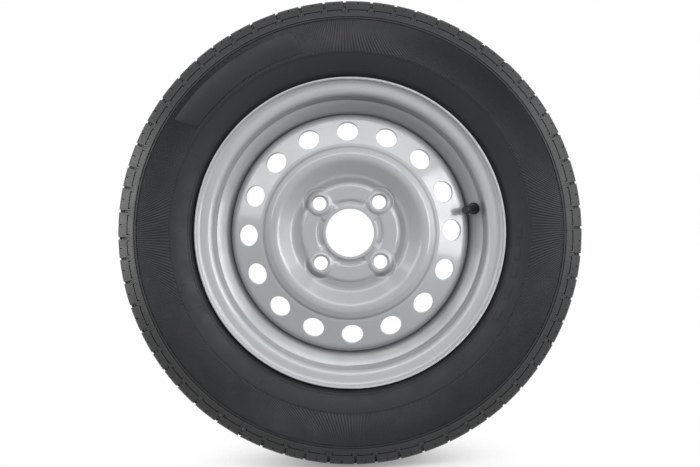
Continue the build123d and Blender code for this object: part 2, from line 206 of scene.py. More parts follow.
soft_box("right_box", (1.58, -1.53, 0.28), (0, 0, 0), 0.65, 1.4, 17.5)
soft_box("right_side", (2.13, -0.53, 0.6), (0, 0, 0), 1.0, 2.0, 18)
soft_box("left_box", (-1.56, -1.56, 0.75), (0, 0, 0.1), 0.7, 0.9, 7)
soft_box("left_side", (-2.2, -0.1, 0.3), (0, 0, 0), 0.8, 1.6, 20)
soft_box("top_box", (0.0, -1.42, 1.37), (0, 0, 0), 2.4, 0.62, 12)
print("five soft boxes")

# %% [markdown]
# ## Tools for modelling
# Blender's operators act on whatever is selected, so each piece starts from a clean
# selection. Three helpers do most of the work. The first spins a closed section round the
# axle, as a lathe would. The second fills a sector with triangles that keep to drawn
# lines, for surfaces with ribs or holes that no operator draws. The third merges doubled
# points and turns the faces outwards.

# %% Selecting and closing
def start_clean():
    """Goes to object mode with nothing selected."""
    if bpy.context.object and bpy.context.object.mode != "OBJECT":
        bpy.ops.object.mode_set(mode="OBJECT")
    bpy.ops.object.select_all(action="DESELECT")


def edit_all(piece):
    """Goes into edit mode on one piece, with all of it selected."""
    start_clean()
    bpy.context.view_layer.objects.active = piece
    piece.select_set(True)
    bpy.ops.object.mode_set(mode="EDIT")
    bpy.ops.mesh.select_all(action="SELECT")


def select_faces(piece, wanted):
    """Goes into edit mode with only those faces selected whose centre is wanted."""
    edit_all(piece)
    bpy.ops.mesh.select_mode(type="FACE")
    bpy.ops.mesh.select_all(action="DESELECT")
    bpy.ops.object.mode_set(mode="OBJECT")
    for face in piece.data.polygons:
        face.select = wanted(face.center)
    bpy.ops.object.mode_set(mode="EDIT")


def select_points(piece, wanted):
    """Goes into edit mode with only those points selected whose place is wanted."""
    edit_all(piece)
    bpy.ops.mesh.select_mode(type="VERT")
    bpy.ops.mesh.select_all(action="DESELECT")
    bpy.ops.object.mode_set(mode="OBJECT")
    for point in piece.data.vertices:
        point.select = wanted(point.co)
    bpy.ops.object.mode_set(mode="EDIT")


def close_up(piece, sharp=30):
    """Merges doubled points, turns all faces outwards and shades by angle."""
    edit_all(piece)
    bpy.ops.mesh.remove_doubles(threshold=0.01 * mm)
    bpy.ops.mesh.delete_loose()
    bpy.ops.mesh.select_all(action="SELECT")
    bpy.ops.mesh.normals_make_consistent(inside=False)
    bpy.ops.object.mode_set(mode="OBJECT")
    bpy.ops.object.shade_smooth_by_angle(angle=radians(sharp))
    piece.data.calc_loop_triangles()
    print(f"{piece.name}: {len(piece.data.loop_triangles)} triangles")


def joined(name, parts):
    """Joins parts into one piece with its own mesh."""
    start_clean()
    for part in parts:
        part.select_set(True)
    bpy.context.view_layer.objects.active = parts[0]
    if len(parts) > 1:
        bpy.ops.object.join()
    parts[0].name = name
    parts[0].data.name = name
    return parts[0]


def copies_round(piece, count):
    """Copies of a piece, evenly round the axle, with the piece itself as the first."""
    found = [piece]
    for step in range(1, count):
        start_clean()
        piece.select_set(True)
        bpy.context.view_layer.objects.active = piece
        bpy.ops.object.duplicate(linked=False)
        bpy.ops.transform.rotate(
            value=2 * pi * step / count, orient_axis="Y", center_override=(0, 0, 0)
        )
        bpy.ops.object.transform_apply(location=True, rotation=True, scale=True)
        found.append(bpy.context.object)
    return found


def mirror_copy(piece):
    """A copy of a piece on the other side of the wheel."""
    start_clean()
    piece.select_set(True)
    bpy.context.view_layer.objects.active = piece
    bpy.ops.object.duplicate(linked=False)
    bpy.ops.transform.resize(value=(1, -1, 1), center_override=(0, 0, 0))
    bpy.ops.object.transform_apply(location=True, rotation=True, scale=True)
    return bpy.context.object


print("selection helpers ready")

# %% Turning and weaving
def turned(name, section, columns):
    """Spins a closed section of (radius, place) points round the Y axis."""
    start_clean()
    bpy.ops.mesh.primitive_circle_add(vertices=len(section), radius=tyre_radius)
    piece = bpy.context.object
    piece.name = name
    piece.data.name = name
    for point, (radius, place) in zip(piece.data.vertices, section):
        point.co = (radius, place, 0)
    edit_all(piece)
    bpy.ops.mesh.spin(steps=columns, angle=2 * pi, center=(0, 0, 0), axis=(0, 1, 0))
    bpy.ops.object.mode_set(mode="OBJECT")
    piece.location = (0, 0, 0)
    return piece


def woven(name, points, lines):
    """Fills a sector with triangles that keep to its points, (reach, turn, radius, place),
    and to lines of them. The flat pattern has turn and the logarithm of reach as its two
    sides, which keeps angles true."""
    flat = [Vector((turn, log(reach))) for reach, turn, radius, place in points]
    edges = [pair for line in lines for pair in zip(line, line[1:])]
    found = delaunay_2d_cdt(flat, edges, [], 0, 1e-7)
    corners = []
    for sources in found[3]:
        reach, turn, radius, place = points[sources[0]]
        corners.append((radius * cos(turn), place, radius * sin(turn)))
    mesh = bpy.data.meshes.new(name)
    mesh.from_pydata(corners, [], found[2])
    piece = bpy.data.objects.new(name, mesh)
    scene.collection.objects.link(piece)
    return piece


def arc_on(line, target, heading, steps):
    """Goes on from a line's last point to a target, along an arc that leaves in a heading.
    Gives the heading at the arc's end."""
    start = line[-1]
    chord = hypot(target[0] - start[0], target[1] - start[1])
    half_turn = atan2(target[1] - start[1], target[0] - start[0]) - heading
    half_turn = (half_turn + pi) % (2 * pi) - pi
    for step in range(1, steps + 1):
        part = half_turn * step / steps
        reach = chord * sin(part) / sin(half_turn)
        line.append((start[0] + reach * cos(heading + part), start[1] + reach * sin(heading + part)))
    return heading + 2 * half_turn


def rounded_line(corners, bends, steps):
    """A line through corners, with each inner corner rounded to its bend."""
    line = [corners[0]]
    for before, corner, after, bend in zip(corners, corners[1:], corners[2:], bends):
        into = Vector(corner) - Vector(before)
        out = Vector(after) - Vector(corner)
        reach = bend * tan(into.angle(out) / 2)
        line.append(tuple(Vector(corner) - into.normalized() * reach))
        end = tuple(Vector(corner) + out.normalized() * reach)
        arc_on(line, end, atan2(into.y, into.x), steps)
    line.append(corners[-1])
    return line


def along(line, radius):
    """The place on a line at a radius, for a line whose radius only grows."""
    for (near, low), (far, high) in zip(line, line[1:]):
        if radius <= far:
            return low + (high - low) * (radius - near) / max(far - near, 1e-9)
    return line[-1][1]


def eased(low, high, value):
    """Goes softly from 0 at low to 1 at high."""
    share = min(max((value - low) / (high - low), 0), 1)
    return share * share * (3 - 2 * share)


print("turning and weaving helpers ready")

# %% [markdown]
# ## The tyre's sides
# A tyre is moulded in one piece, and its sides show more than the solid has: a fitting
# line near the rim, a thin ring, a wide band of fine ribs, and a double rib below the
# tread. The rings are steps in the section, so they come with the spin. The ribs don't
# run round: they stand out from the centre at four places and lie along the rim between
# them, like lines of equal height on a saddle. So each rib is drawn where radius^4 times
# sin(2 * turn) has a whole value, with a valley halfway between two ribs.

# %% Outline of the sidewall
bead_seat_radius = 164.7 * mm
bead_half = 50.6 * mm
bead_toe_half = 33.8 * mm
bend_centre = (174.6 * mm, -58.2 * mm)
bend_radius = 7.6 * mm
bead_leave = -pi / 4
widest_place = -71.0 * mm
buttress_foot = (tyre_radius - 28.5 * mm, -65.5 * mm)
tread_half = 48.5 * mm
crown_curve = 200.0 * mm

widest = ((flange_radius + buttress_foot[0]) / 2, widest_place)
tread_edge_radius = tyre_radius - crown_curve + sqrt(crown_curve**2 - tread_half**2)
tread_edge = (tread_edge_radius, -tread_half)
bead_leaving = (
    bend_centre[0] + bend_radius * cos(pi / 4),
    bend_centre[1] + bend_radius * sin(pi / 4),
)
sidewall = [bead_leaving]
widest_heading = arc_on(sidewall, widest, bead_leave, 24)
arc_on(sidewall, buttress_foot, widest_heading, 24)
sidewall.append(tread_edge)
print(f"sidewall from {sidewall[0][0]:.4f} to {sidewall[-1][0]:.4f} m radius")

# %% Section of the carcass
band_low = 209.8 * mm
band_high = 247.6 * mm
band_place = 64 * mm
wall_columns = 360
ring_shape = [(0, 0), (0.14, 0.5), (0.34, 0.92), (0.56, 1), (0.8, 0.7), (1, 0)]
rings = [
    (186.4 * mm, 187.4 * mm, 0.4 * mm),
    (189 * mm, 189.9 * mm, 0.25 * mm),
    (208.2 * mm, 209.3 * mm, 0.5 * mm),
    (247.9 * mm, 249.8 * mm, 1.1 * mm),
    (250.9 * mm, 252.8 * mm, 1.1 * mm),
]
wall_end = 252.9 * mm

outer_rows = [(radius * mm, 0) for radius in range(182, 208, 3)]
outer_rows += [(band_low, 0), (band_high, 0), (wall_end, 0)]
for low, high, height in rings:
    outer_rows += [(low + (high - low) * across, height * up) for across, up in ring_shape]
outer_rows.sort()

bead = [
    (163.3 * mm, -bead_toe_half),
    (bead_seat_radius, -bead_half + 3 * mm),
    (bead_seat_radius + 3 * mm, -bead_half),
    (bend_centre[0], -bead_half),
    (bend_centre[0] + bend_radius * sin(pi / 8), bend_centre[1] + bend_radius * cos(pi / 8)),
]
half_section = bead + [bead_leaving]
half_section += [(radius, along(sidewall, radius) - height) for radius, height in outer_rows]
half_section += [(258.5 * mm, -52 * mm), (266.5 * mm, -38 * mm), (268 * mm, -14 * mm)]
half_lining = [(264 * mm, -13 * mm), (259.5 * mm, -40.5 * mm), (244 * mm, -56 * mm)]
half_lining += [(216 * mm, -63 * mm), (196 * mm, -55 * mm), (184.8 * mm, -43.8 * mm)]
carcass_section = half_section + [(radius, -place) for radius, place in reversed(half_section)]
carcass_section += [(radius, -place) for radius, place in reversed(half_lining)] + half_lining
carcass = turned("tyre_sides", carcass_section, wall_columns)
select_faces(
    carcass, lambda c: band_low < hypot(c.x, c.z) < band_high and abs(c.y) > band_place
)
bpy.ops.mesh.delete(type="FACE")
bpy.ops.object.mode_set(mode="OBJECT")
print(f"carcass with {len(carcass_section)} points in its section")

# %% Ribs of one quarter
rib_height = 0.55 * mm
rib_step = 3.2 * mm
rib_margin = 0.6 * mm
rib_spacing_radius = 239 * mm
rib_spacing = 2.6 * mm

# Neighbouring ribs are rib_spacing apart where they stand out from the centre.
rib_scale = 1 / (2 * rib_spacing * rib_spacing_radius**3)
rib_low = band_low + rib_margin
rib_high = band_high - rib_margin


def rib_line(level):
    """Points (radius, turn) of one level line in the first quarter, in one or two runs."""
    starts = asin(min(level / (rib_scale * rib_high**4), 1)) / 2
    turns_over = level / (rib_scale * rib_low**4) > 1
    ends = pi / 4 if turns_over else asin(level / (rib_scale * rib_low**4)) / 2
    count = max(3, round((ends - starts) * rib_high * 1.2 / rib_step), 0 if turns_over else 14)
    run = []
    for step in range(count + 1):
        turn = starts + (ends - starts) * (step / count)
        run.append(((level / (rib_scale * sin(2 * turn))) ** 0.25, turn))
    other = [(radius, pi / 2 - turn) for radius, turn in reversed(run)]
    return [run + other[1:]] if turns_over else [run, other]


rib_points = []
rib_lines = []


def add_rib(run, height):
    """Adds one run of points to the quarter, raised by a height."""
    first = len(rib_points)
    for radius, turn in run:
        rib_points.append((radius, turn, radius, along(sidewall, radius) - height))
    rib_lines.append(list(range(first, len(rib_points))))


side_count = 14
side_radii = [rib_low + (rib_high - rib_low) * step / side_count for step in range(side_count + 1)]
for side_turn in (0, pi / 2):
    add_rib([(radius, side_turn) for radius in side_radii], rib_height)
half_level = 1
while half_level / 2 < rib_scale * rib_high**4:
    for run in rib_line(half_level / 2):
        add_rib(run, rib_height if half_level % 2 == 0 else 0)
    half_level += 1
for edge in (band_low, band_high):
    edge_columns = range(wall_columns // 4 + 1)
    add_rib([(edge, 2 * pi * column / wall_columns) for column in edge_columns], 0)
rib_quarter = woven("rib_quarter", rib_points, rib_lines)
print(f"{half_level - 1} level lines, {len(rib_points)} points in a quarter")

# %% Join the sides
outer_ribs = joined("outer_ribs", copies_round(rib_quarter, 4))
inner_ribs = mirror_copy(outer_ribs)
tyre_sides = joined("tyre_sides", [carcass, outer_ribs, inner_ribs])
close_up(tyre_sides, sharp=18)

# %% [markdown]
# ## The tread
# The tread's blocks come in three lengths. One block pitch is cut from a flat strip: the
# strip is bisected along the edges of each groove, slot and sipe, and what lies between
# the cuts is pressed in. The strip is then bent round the wheel, once for each block of
# the order that the solid has, and the copies are merged into one closed ring.

# %% Cut one block pitch
pitch = 29.16 * mm
groove_spacing = 24 * mm
groove_depth = 7 * mm
slot_depth = 5.5 * mm
slot_half = 1.5 * mm
slot_wall = 0.35 * mm
sipe_half = 0.55 * mm
sipe_wall = 0.2 * mm
sipe_depth = 4 * mm
line_depth = 1.3 * mm
crown_reach = crown_curve * asin(tread_half / crown_curve)
buttress_length = (Vector(buttress_foot) - Vector(tread_edge)).length
strip_half = crown_reach + buttress_length - 2.4 * mm
slot_reach = crown_reach + 20 * mm
line_start = crown_reach + 14.4 * mm
line_end = line_start + 1.5 * mm
hook_start = 3.4 * mm
hook_end = 4.7 * mm
hook_reach = line_end + 3.4 * mm
block_middle = pitch / 2

# Each cut-out: near and far end along the pitch, near and far side across, wall and depth.
cut_outs = []
for middle in (-groove_spacing, 0, groove_spacing):
    cut_outs.append((-pitch, 2 * pitch, middle - 4 * mm, middle + 4 * mm, 1.25 * mm, groove_depth))
for side in (-1, 1):
    for centre in (0, pitch):
        slot = (centre - slot_half, centre + slot_half)
        cut_outs.append((*slot, side * 25 * mm, side * slot_reach, slot_wall, slot_depth))
        cut_outs.append((*slot, side * 14 * mm, side * 22 * mm, slot_wall, slot_depth))
    sipe = (block_middle - sipe_half, block_middle + sipe_half)
    cut_outs.append((*sipe, side * 6 * mm, side * 18 * mm, sipe_wall, sipe_depth))
    cut_outs.append((*sipe, side * 31 * mm, side * (crown_reach + 6 * mm), sipe_wall, sipe_depth))
    thin = (hook_start, pitch - hook_start)
    cut_outs.append((*thin, side * line_start, side * line_end, sipe_wall, line_depth))
    for near in (hook_start, pitch - hook_end):
        hook = (near, near + hook_end - hook_start)
        cut_outs.append((*hook, side * line_start, side * hook_reach, sipe_wall, line_depth))

along_cuts = set()
across_cuts = set()
for near, far, one_side, other_side, wall, depth in cut_outs:
    low, high = sorted((one_side, other_side))
    along_cuts |= {near, near + wall, far - wall, far}
    across_cuts |= {low, low + wall, high - wall, high}
for side in (-1, 1):
    for step in (-16, -9, -5, -2.4, -1, 0, 1, 2.4, 10):
        across_cuts.add(side * (crown_reach + step * mm))

start_clean()
bpy.ops.mesh.primitive_plane_add(size=1)
block = bpy.context.object
block.name = "tread_block"
block.scale = (pitch, 2 * strip_half, 1)
block.location = (pitch / 2, 0, 0)
bpy.ops.object.transform_apply(location=True, rotation=True, scale=True)
edit_all(block)
cuts = [(place, (1, 0, 0)) for place in sorted(along_cuts) if 0 < place < pitch]
cuts += [(place, (0, 1, 0)) for place in sorted(across_cuts) if abs(place) < strip_half]
for place, across in cuts:
    bpy.ops.mesh.select_all(action="SELECT")
    bpy.ops.mesh.bisect(plane_co=Vector(across) * place, plane_no=across)
bpy.ops.object.mode_set(mode="OBJECT")
print(f"block pitch cut {len(cuts)} times into {len(block.data.polygons)} faces")

# %% Press in grooves, slots and sipes
edge_round = 0.7 * mm


def pressed(x, y):
    """How deep a point of the strip lies."""
    deepest = 0
    slack = 0.01 * mm
    for near, far, one_side, other_side, wall, depth in cut_outs:
        low, high = sorted((one_side, other_side))
        inside = min(x - near, far - x, y - low, high - y) - wall
        if inside > -slack:
            fade = 1 - eased(crown_reach, slot_reach, abs(y)) if depth == slot_depth else 1
            deepest = max(deepest, depth * max(fade, 0.12))
    rounding = 1 - min(abs(abs(y) - crown_reach) / (2.4 * mm), 1)
    return max(deepest, edge_round * rounding**2)


for point in block.data.vertices:
    point.co.z = -pressed(point.co.x, point.co.y)
print(f"deepest point {min(point.co.z for point in block.data.vertices):.4f} m")

# %% Bend the pitches round the wheel
block_lengths = {"s": 5.1, "m": 6.0, "l": 6.8}
block_order = "smmlmssmllmmsml" * 4
inner_block_turn = radians(3)
shear_half = 28 * mm
block_unit = 2 * pi / sum(block_lengths[kind] for kind in block_order)
buttress_lean = atan2(-buttress_foot[1] - tread_half, tread_edge_radius - buttress_foot[0])


def on_tread(across, height):
    """Radius and place of a strip point: across the crown's arc, then down the buttress."""
    side = 1 if across > 0 else -1
    lean = min(abs(across), crown_reach) / crown_curve
    beyond = max(abs(across) - crown_reach, 0)
    radius = tyre_radius - crown_curve + crown_curve * cos(lean) - beyond * cos(buttress_lean)
    place = crown_curve * sin(lean) + beyond * sin(buttress_lean)
    if beyond > 0:
        lean = pi / 2 - buttress_lean
    return radius + height * cos(lean), side * (place + height * sin(lean))


ring_parts = []
turn = 0
for kind in block_order:
    pitch_turn = block_lengths[kind] * block_unit
    start_clean()
    block.select_set(True)
    bpy.context.view_layer.objects.active = block
    bpy.ops.object.duplicate(linked=False)
    part = bpy.context.object
    for point in part.data.vertices:
        shear = (min(max(point.co.y, -shear_half), shear_half) + shear_half) / (2 * shear_half)
        angle = turn + point.co.x / pitch * pitch_turn + inner_block_turn * shear
        radius, place = on_tread(point.co.y, point.co.z)
        point.co = (radius * cos(angle), place, radius * sin(angle))
    ring_parts.append(part)
    turn += pitch_turn
bpy.data.objects.remove(block)
tread = joined("tyre_tread", ring_parts)
edit_all(tread)
bpy.ops.mesh.remove_doubles(threshold=0.02 * mm)
bpy.ops.object.mode_set(mode="OBJECT")
print(f"tread ring of {len(ring_parts)} pitches")

# %% Close the tread underneath
strip_end_radius, strip_end_place = on_tread(strip_half, 0)
end_slack = 0.2 * mm
under_points = [(258 * mm, 50 * mm), (266 * mm, 36 * mm)]
for side in (-1, 1):
    select_points(
        tread,
        lambda c: c.y * side > strip_end_place - end_slack
        and hypot(c.x, c.z) < strip_end_radius + end_slack,
    )
    radius, place = strip_end_radius, strip_end_place
    for next_radius, next_place in under_points:
        bpy.ops.mesh.extrude_edges_move()
        scale = next_radius / radius
        bpy.ops.transform.resize(value=(scale, 1, scale), center_override=(0, 0, 0))
        bpy.ops.transform.translate(value=(0, side * (next_place - place), 0))
        radius, place = next_radius, next_place
edit_all(tread)
bpy.ops.mesh.select_mode(type="EDGE")
bpy.ops.mesh.select_all(action="DESELECT")
bpy.ops.mesh.select_non_manifold()
bpy.ops.mesh.bridge_edge_loops()
bpy.ops.object.mode_set(mode="OBJECT")
close_up(tread, sharp=28)

# %% [markdown]
# ## Marks on the sidewall
# A moulded sidewall has small marks: a smooth raised panel, plain plates near the rim,
# short mould lines and the nibs that the mould's air holes leave. They could be cut into
# the sides with a boolean, but that breaks up the ribs. So each starts as a cube, which
# is subdivided and then laid on the sidewall, with its back sunk into the rubber. A loop
# over its points follows the curved side exactly, which no operator does.

# %% Plates and lines laid on the sidewall
plate_sink = 0.8 * mm
plate_soft = 0.25 * mm


def side_plate(name, low, high, first_turn, last_turn, height, cuts, slant=0):
    """A raised plate on the outer sidewall, between two radii and two turns."""
    start_clean()
    bpy.ops.mesh.primitive_cube_add(size=1)
    plate = bpy.context.object
    plate.name = name
    edit_all(plate)
    bpy.ops.mesh.subdivide(number_cuts=cuts)
    bpy.ops.object.mode_set(mode="OBJECT")
    for point in plate.data.vertices:
        across, lift, out = point.co
        radius = low + (high - low) * (out + 0.5)
        turn = first_turn + (last_turn - first_turn) * (across + 0.5) + slant * out
        raised = (height + plate_sink) * (0.5 - lift) - plate_sink
        point.co = (radius * cos(turn), along(sidewall, radius) - raised, radius * sin(turn))
    edit_all(plate)
    bpy.ops.mesh.normals_make_consistent(inside=False)
    bpy.ops.object.mode_set(mode="OBJECT")
    bpy.ops.object.modifier_add(type="BEVEL")
    soften = plate.modifiers["Bevel"]
    soften.width = plate_soft
    soften.segments = 2
    soften.angle_limit = radians(60)
    bpy.ops.object.modifier_apply(modifier="Bevel")
    return plate


marks = [side_plate("panel", 214.5 * mm, 241.5 * mm, radians(104), radians(145), 0.9 * mm, 24, 0.03)]
plate_half = 8 * mm
plate_radius = 196 * mm
plate_turns = (-1, -8.5, -14.5, -22, -30)
for degrees in plate_turns:
    middle = radians(degrees)
    reach = plate_half / plate_radius
    marks.append(
        side_plate("plate", 193 * mm, 199 * mm, middle - reach, middle + reach, 0.35 * mm, 4)
    )
line_half = 0.5 * mm / plate_radius
line_spots = [
    (152, 195), (164, 190), (165, 199), (178, 193), (196, 196), (205, 191), (238, 197), (262, 192),
    (310, 196), (335, 190), (40, 198), (66, 192),
]
for degrees, low in line_spots:
    middle = radians(degrees)
    marks.append(
        side_plate(
            "line", low * mm, (low + 6) * mm, middle - line_half, middle + line_half, 0.4 * mm, 1
        )
    )
print(f"{len(marks)} plates and lines")

# %% Nibs of the air holes
nib_radius = 0.55 * mm
nib_ring = 206.8 * mm
nib_count = 20

start_clean()
bpy.ops.mesh.primitive_uv_sphere_add(
    segments=10, ring_count=6, radius=nib_radius, location=(nib_ring, along(sidewall, nib_ring), 0)
)
nib = bpy.context.object
edit_all(nib)
bpy.ops.transform.resize(value=(1, 1.6, 1), center_override=nib.location)
bpy.ops.object.mode_set(mode="OBJECT")
bpy.ops.object.transform_apply(location=True, rotation=True, scale=True)
tyre_marks = joined("tyre_marks", marks + copies_round(nib, nib_count))
close_up(tyre_marks)

# %% [markdown]
# ## The pressed disc
# The disc is one steel sheet, pressed into rings and hills and punched with holes. A sheet
# that bends both ways and is full of holes needs rows of points round every hole, so the
# middle of the sheet is woven, one quarter of it, with the lift of each point worked out
# from the press line and from the hill under the bolt. The quarter is copied round the
# axle. Solidify then gives the sheet its thickness and Bevel the soft punched edges.

# %% Press line and bolt hills
sheet = 3.5 * mm
ring_middle = -31.75 * mm
bolt_radius = 50 * mm
bolt_turn = pi / 4
bolt_hole = 8 * mm
cone_mouth = 9.75 * mm
pad_lift = 2.2 * mm
pad_edge = 57 * mm
boss_lift = 4.9 * mm
boss_top = 10.4 * mm
boss_foot = 17.6 * mm
pocket_floor = 18 * mm
pocket_edge = 21 * mm
flat_half = 8.5 * mm
flat_fade = 4 * mm
hill_blend = 1.0 * mm
bend_steps = 5
press_corners = [
    (30.25, 7), (30.25, 0), (38, 0), (41, 2.2), (55.5, 2.2), (58.5, 0), (61, 0), (66.8, 1.3),
    (70.2, 1.7), (87.6, 12.5), (93.4, 12.1), (99.4, 8.8), (102.6, 5.7), (106, 5.1),
    (140.45, -7.43), (140.45, -33.43),
]
press_bends = [3.75, 3, 3, 3, 2, 3, 3, 9, 9, 6, 4, 2.2, 4, 8.5]

press = rounded_line(press_corners, press_bends, bend_steps)
press = [(radius * mm, lift * mm) for radius, lift in press]
lip_line = press[bend_steps + 1 :: -1]
flange_line = press[-bend_steps - 2 :]
press_line = press[bend_steps + 1 : -bend_steps - 1]
lip_foot = lip_line[0][0]
shoulder = flange_line[0][0]


def lift_at(radius, turn):
    """How far the middle of the sheet stands out from the ring that bears on the hub."""
    out = radius * cos(turn - bolt_turn)
    side = radius * sin(turn - bolt_turn)
    away = hypot(out - bolt_radius, side)
    pocket = 1 - eased(pocket_floor, pocket_edge, away)
    pocket *= eased(pad_edge, pad_edge + 4 * mm, radius)
    lift = along(press_line, radius) * (1 - pocket)
    if radius < bolt_radius:
        lift = max(lift, pad_lift * (1 - eased(flat_half, flat_half + flat_fade, abs(side))))
    if away > boss_foot:
        return lift
    hill = boss_lift * (1 - eased(boss_top, boss_foot, away))
    meeting = max(hill_blend - abs(hill - lift), 0) / hill_blend * min(hill / hill_blend, 1)
    return max(lift, hill) + meeting**2 * hill_blend / 4


def lengths(line):
    """The length along a line at each of its points."""
    found = [0]
    for one, other in zip(line, line[1:]):
        found.append(found[-1] + hypot(other[0] - one[0], other[1] - one[1]))
    return found


def walked(line, length):
    """The point of a line at a length along it."""
    marks_on = lengths(line)
    for index in range(len(line) - 1):
        if length <= marks_on[index + 1] or index == len(line) - 2:
            share = (length - marks_on[index]) / (marks_on[index + 1] - marks_on[index])
            return tuple(Vector(line[index]).lerp(Vector(line[index + 1]), share))


def sheet_spot(reach, turn):
    """One point for the weave. Reach is the radius on the disc, and goes on along the lip
    inwards and along the flange outwards."""
    if reach < lip_foot:
        radius, lift = walked(lip_line, lip_foot - reach)
        lift = max(lift, lift_at(lip_foot, turn))
    elif reach > shoulder:
        radius, lift = walked(flange_line, reach - shoulder)
    else:
        radius, lift = reach, lift_at(reach, turn)
    return (reach, turn, radius, ring_middle - lift)


print(f"press line of {len(press)} points, disc from {lip_foot:.4f} to {shoulder:.4f} m")

# %% Weave one quarter
vent_radius = 120.5 * mm
vent_hole = 12.75 * mm
vent_step = pi / 8
vent_squeeze = 0.895
first_turn = -vent_step / 2
quarter_columns = 64
row_gap = 2.5 * mm
row_least = 0.6 * mm
bolt_rows = [8, 10.6, 11.4, 12.3, 13.2, 14, 14.7, 15.4, 16.3, 17.3, 18.3, 19.2, 20, 20.8, 21.6, 22.4]
vent_rows = [12.75, 13.5, 14.2]
bolt_clear = 23.2 * mm
vent_clear = 15.6 * mm


def from_bolt(radius, turn):
    """Distance from the middle of the quarter's bolt hole."""
    return (Vector((radius * cos(turn - bolt_turn), radius * sin(turn - bolt_turn)))
            - Vector((bolt_radius, 0))).length


def from_vent(radius, turn):
    """Distance from the middle of the nearest vent, measured on the sloping band."""
    beside = (turn + vent_step / 2) % vent_step - vent_step / 2
    out = (radius * cos(beside) - vent_radius) / vent_squeeze
    return hypot(out, radius * sin(beside))


main_rows = [lip_foot - length for length in reversed(lengths(lip_line)[1:])]
main_rows += [radius for radius, lift in press_line]
main_rows += [shoulder + length for length in lengths(flange_line)[1:]]
rows = []
for low, high in zip(main_rows, main_rows[1:]):
    count = ceil((high - low) / row_gap)
    rows += [low + (high - low) * step / count for step in range(count)]
rows.append(main_rows[-1])

disc_points = []
disc_lines = []
for reach in rows:
    for column in range(quarter_columns + 1):
        turn = first_turn + pi / 2 * column / quarter_columns
        off_holes = from_bolt(reach, turn) > bolt_clear and from_vent(reach, turn) > vent_clear
        if off_holes or reach <= lip_foot or reach >= shoulder:
            disc_points.append(sheet_spot(reach, turn))


def add_circle(middle_radius, middle_turn, size, squeeze, count):
    """Adds a row of points round a hole, as a closed line."""
    first = len(disc_points)
    for step in range(count):
        angle = 2 * pi * step / count
        out = middle_radius + size * cos(angle) * squeeze
        side = size * sin(angle)
        reach = hypot(out, side)
        if reach > lip_foot + row_least:
            disc_points.append(sheet_spot(reach, middle_turn + atan2(side, out)))
    if len(disc_points) - first == count:
        disc_lines.append(list(range(first, first + count)) + [first])


for size in bolt_rows:
    add_circle(bolt_radius, bolt_turn, size * mm, 1, 56)
for vent in range(4):
    for size in vent_rows:
        add_circle(vent_radius, vent * vent_step, size * mm, vent_squeeze, 40)
disc_quarter = woven("disc_quarter", disc_points, disc_lines)


def in_hole(centre):
    """Says whether a face lies in a bolt hole or a vent."""
    radius, turn = hypot(centre.x, centre.z), atan2(centre.z, centre.x)
    return from_bolt(radius, turn) < bolt_hole or from_vent(radius, turn) < vent_hole


select_faces(disc_quarter, in_hole)
bpy.ops.mesh.delete(type="FACE")
bpy.ops.object.mode_set(mode="OBJECT")
print(f"disc quarter of {len(disc_quarter.data.polygons)} faces")

# %% Thickness and edges
edge_soft = 0.45 * mm
hole_slack = 0.4 * mm

disc = joined("disc_sheet", copies_round(disc_quarter, 4))
close_up(disc)

# The open edges of the sheet get a bevel weight, so that only cut and punched edges soften.
edit_all(disc)
bpy.ops.mesh.select_mode(type="EDGE")
bpy.ops.mesh.select_all(action="DESELECT")
bpy.ops.mesh.select_non_manifold()
bpy.ops.transform.edge_bevelweight(value=1)
bpy.ops.object.mode_set(mode="OBJECT")
bpy.ops.object.modifier_add(type="SOLIDIFY")
thicken = disc.modifiers["Solidify"]
thicken.thickness = sheet
thicken.offset = 0
thicken.use_even_offset = True
bpy.ops.object.modifier_apply(modifier="Solidify")

# The front edge of each bolt hole is opened into the cone that the bolt's head sits in.
front = ring_middle - boss_lift
for point in disc.data.vertices:
    turn = atan2(point.co.z, point.co.x) % (pi / 2)
    radius = hypot(point.co.x, point.co.z)
    if point.co.y < front and from_bolt(radius, turn) < bolt_hole + hole_slack:
        corner = round((atan2(point.co.z, point.co.x) - bolt_turn) / (pi / 2)) * pi / 2 + bolt_turn
        centre = Vector((bolt_radius * cos(corner), point.co.y, bolt_radius * sin(corner)))
        point.co = centre + (point.co - centre) * (cone_mouth / (point.co - centre).length)
bpy.ops.object.modifier_add(type="BEVEL")
soften = disc.modifiers["Bevel"]
soften.width = edge_soft
soften.segments = 2
soften.limit_method = "WEIGHT"
soften.use_clamp_overlap = False
bpy.ops.object.modifier_apply(modifier="Bevel")
close_up(disc, sharp=40)

# %% [markdown]
# ## Weld runs
# Eight weld runs hold the disc in the rim. A run is a sphere drawn out along the corner
# between the disc's flange and the rim's well, with the ripples that the weld pool leaves.

# %% Weld runs
weld_radius = 140.9 * mm
weld_place = 3.1 * mm
weld_bead = 2.7 * mm
weld_half = 23.5 * mm
weld_ripples = 17
ripple_depth = 0.07
end_share = 0.93

start_clean()
bpy.ops.mesh.primitive_uv_sphere_add(segments=14, ring_count=140, radius=1)
weld = bpy.context.object
for point in weld.data.vertices:
    share = asin(min(max(point.co.z, -1), 1)) / (pi / 2)
    facing = atan2(point.co.y, point.co.x)
    ending = max(abs(share) - end_share, 0) / (1 - end_share)
    size = weld_bead * sqrt(max(1 - ending**2, 0))
    size *= 1 + ripple_depth * cos(2 * pi * weld_ripples * share + 0.8 * cos(facing))
    turn = pi / 8 + share * weld_half / weld_radius
    radius = weld_radius + size * cos(facing)
    point.co = (radius * cos(turn), weld_place + size * sin(facing), radius * sin(turn))
weld_runs = joined("weld_runs", copies_round(weld, 8))
close_up(weld_runs, sharp=60)

# %% [markdown]
# ## Valve
# The valve's rubber body and its cap are turned round the valve's own axis, which the
# joint of the cap gives. Both are spun like the tyre and then laid along that axis. The
# cap gets the fine ribs that fingers turn it by.

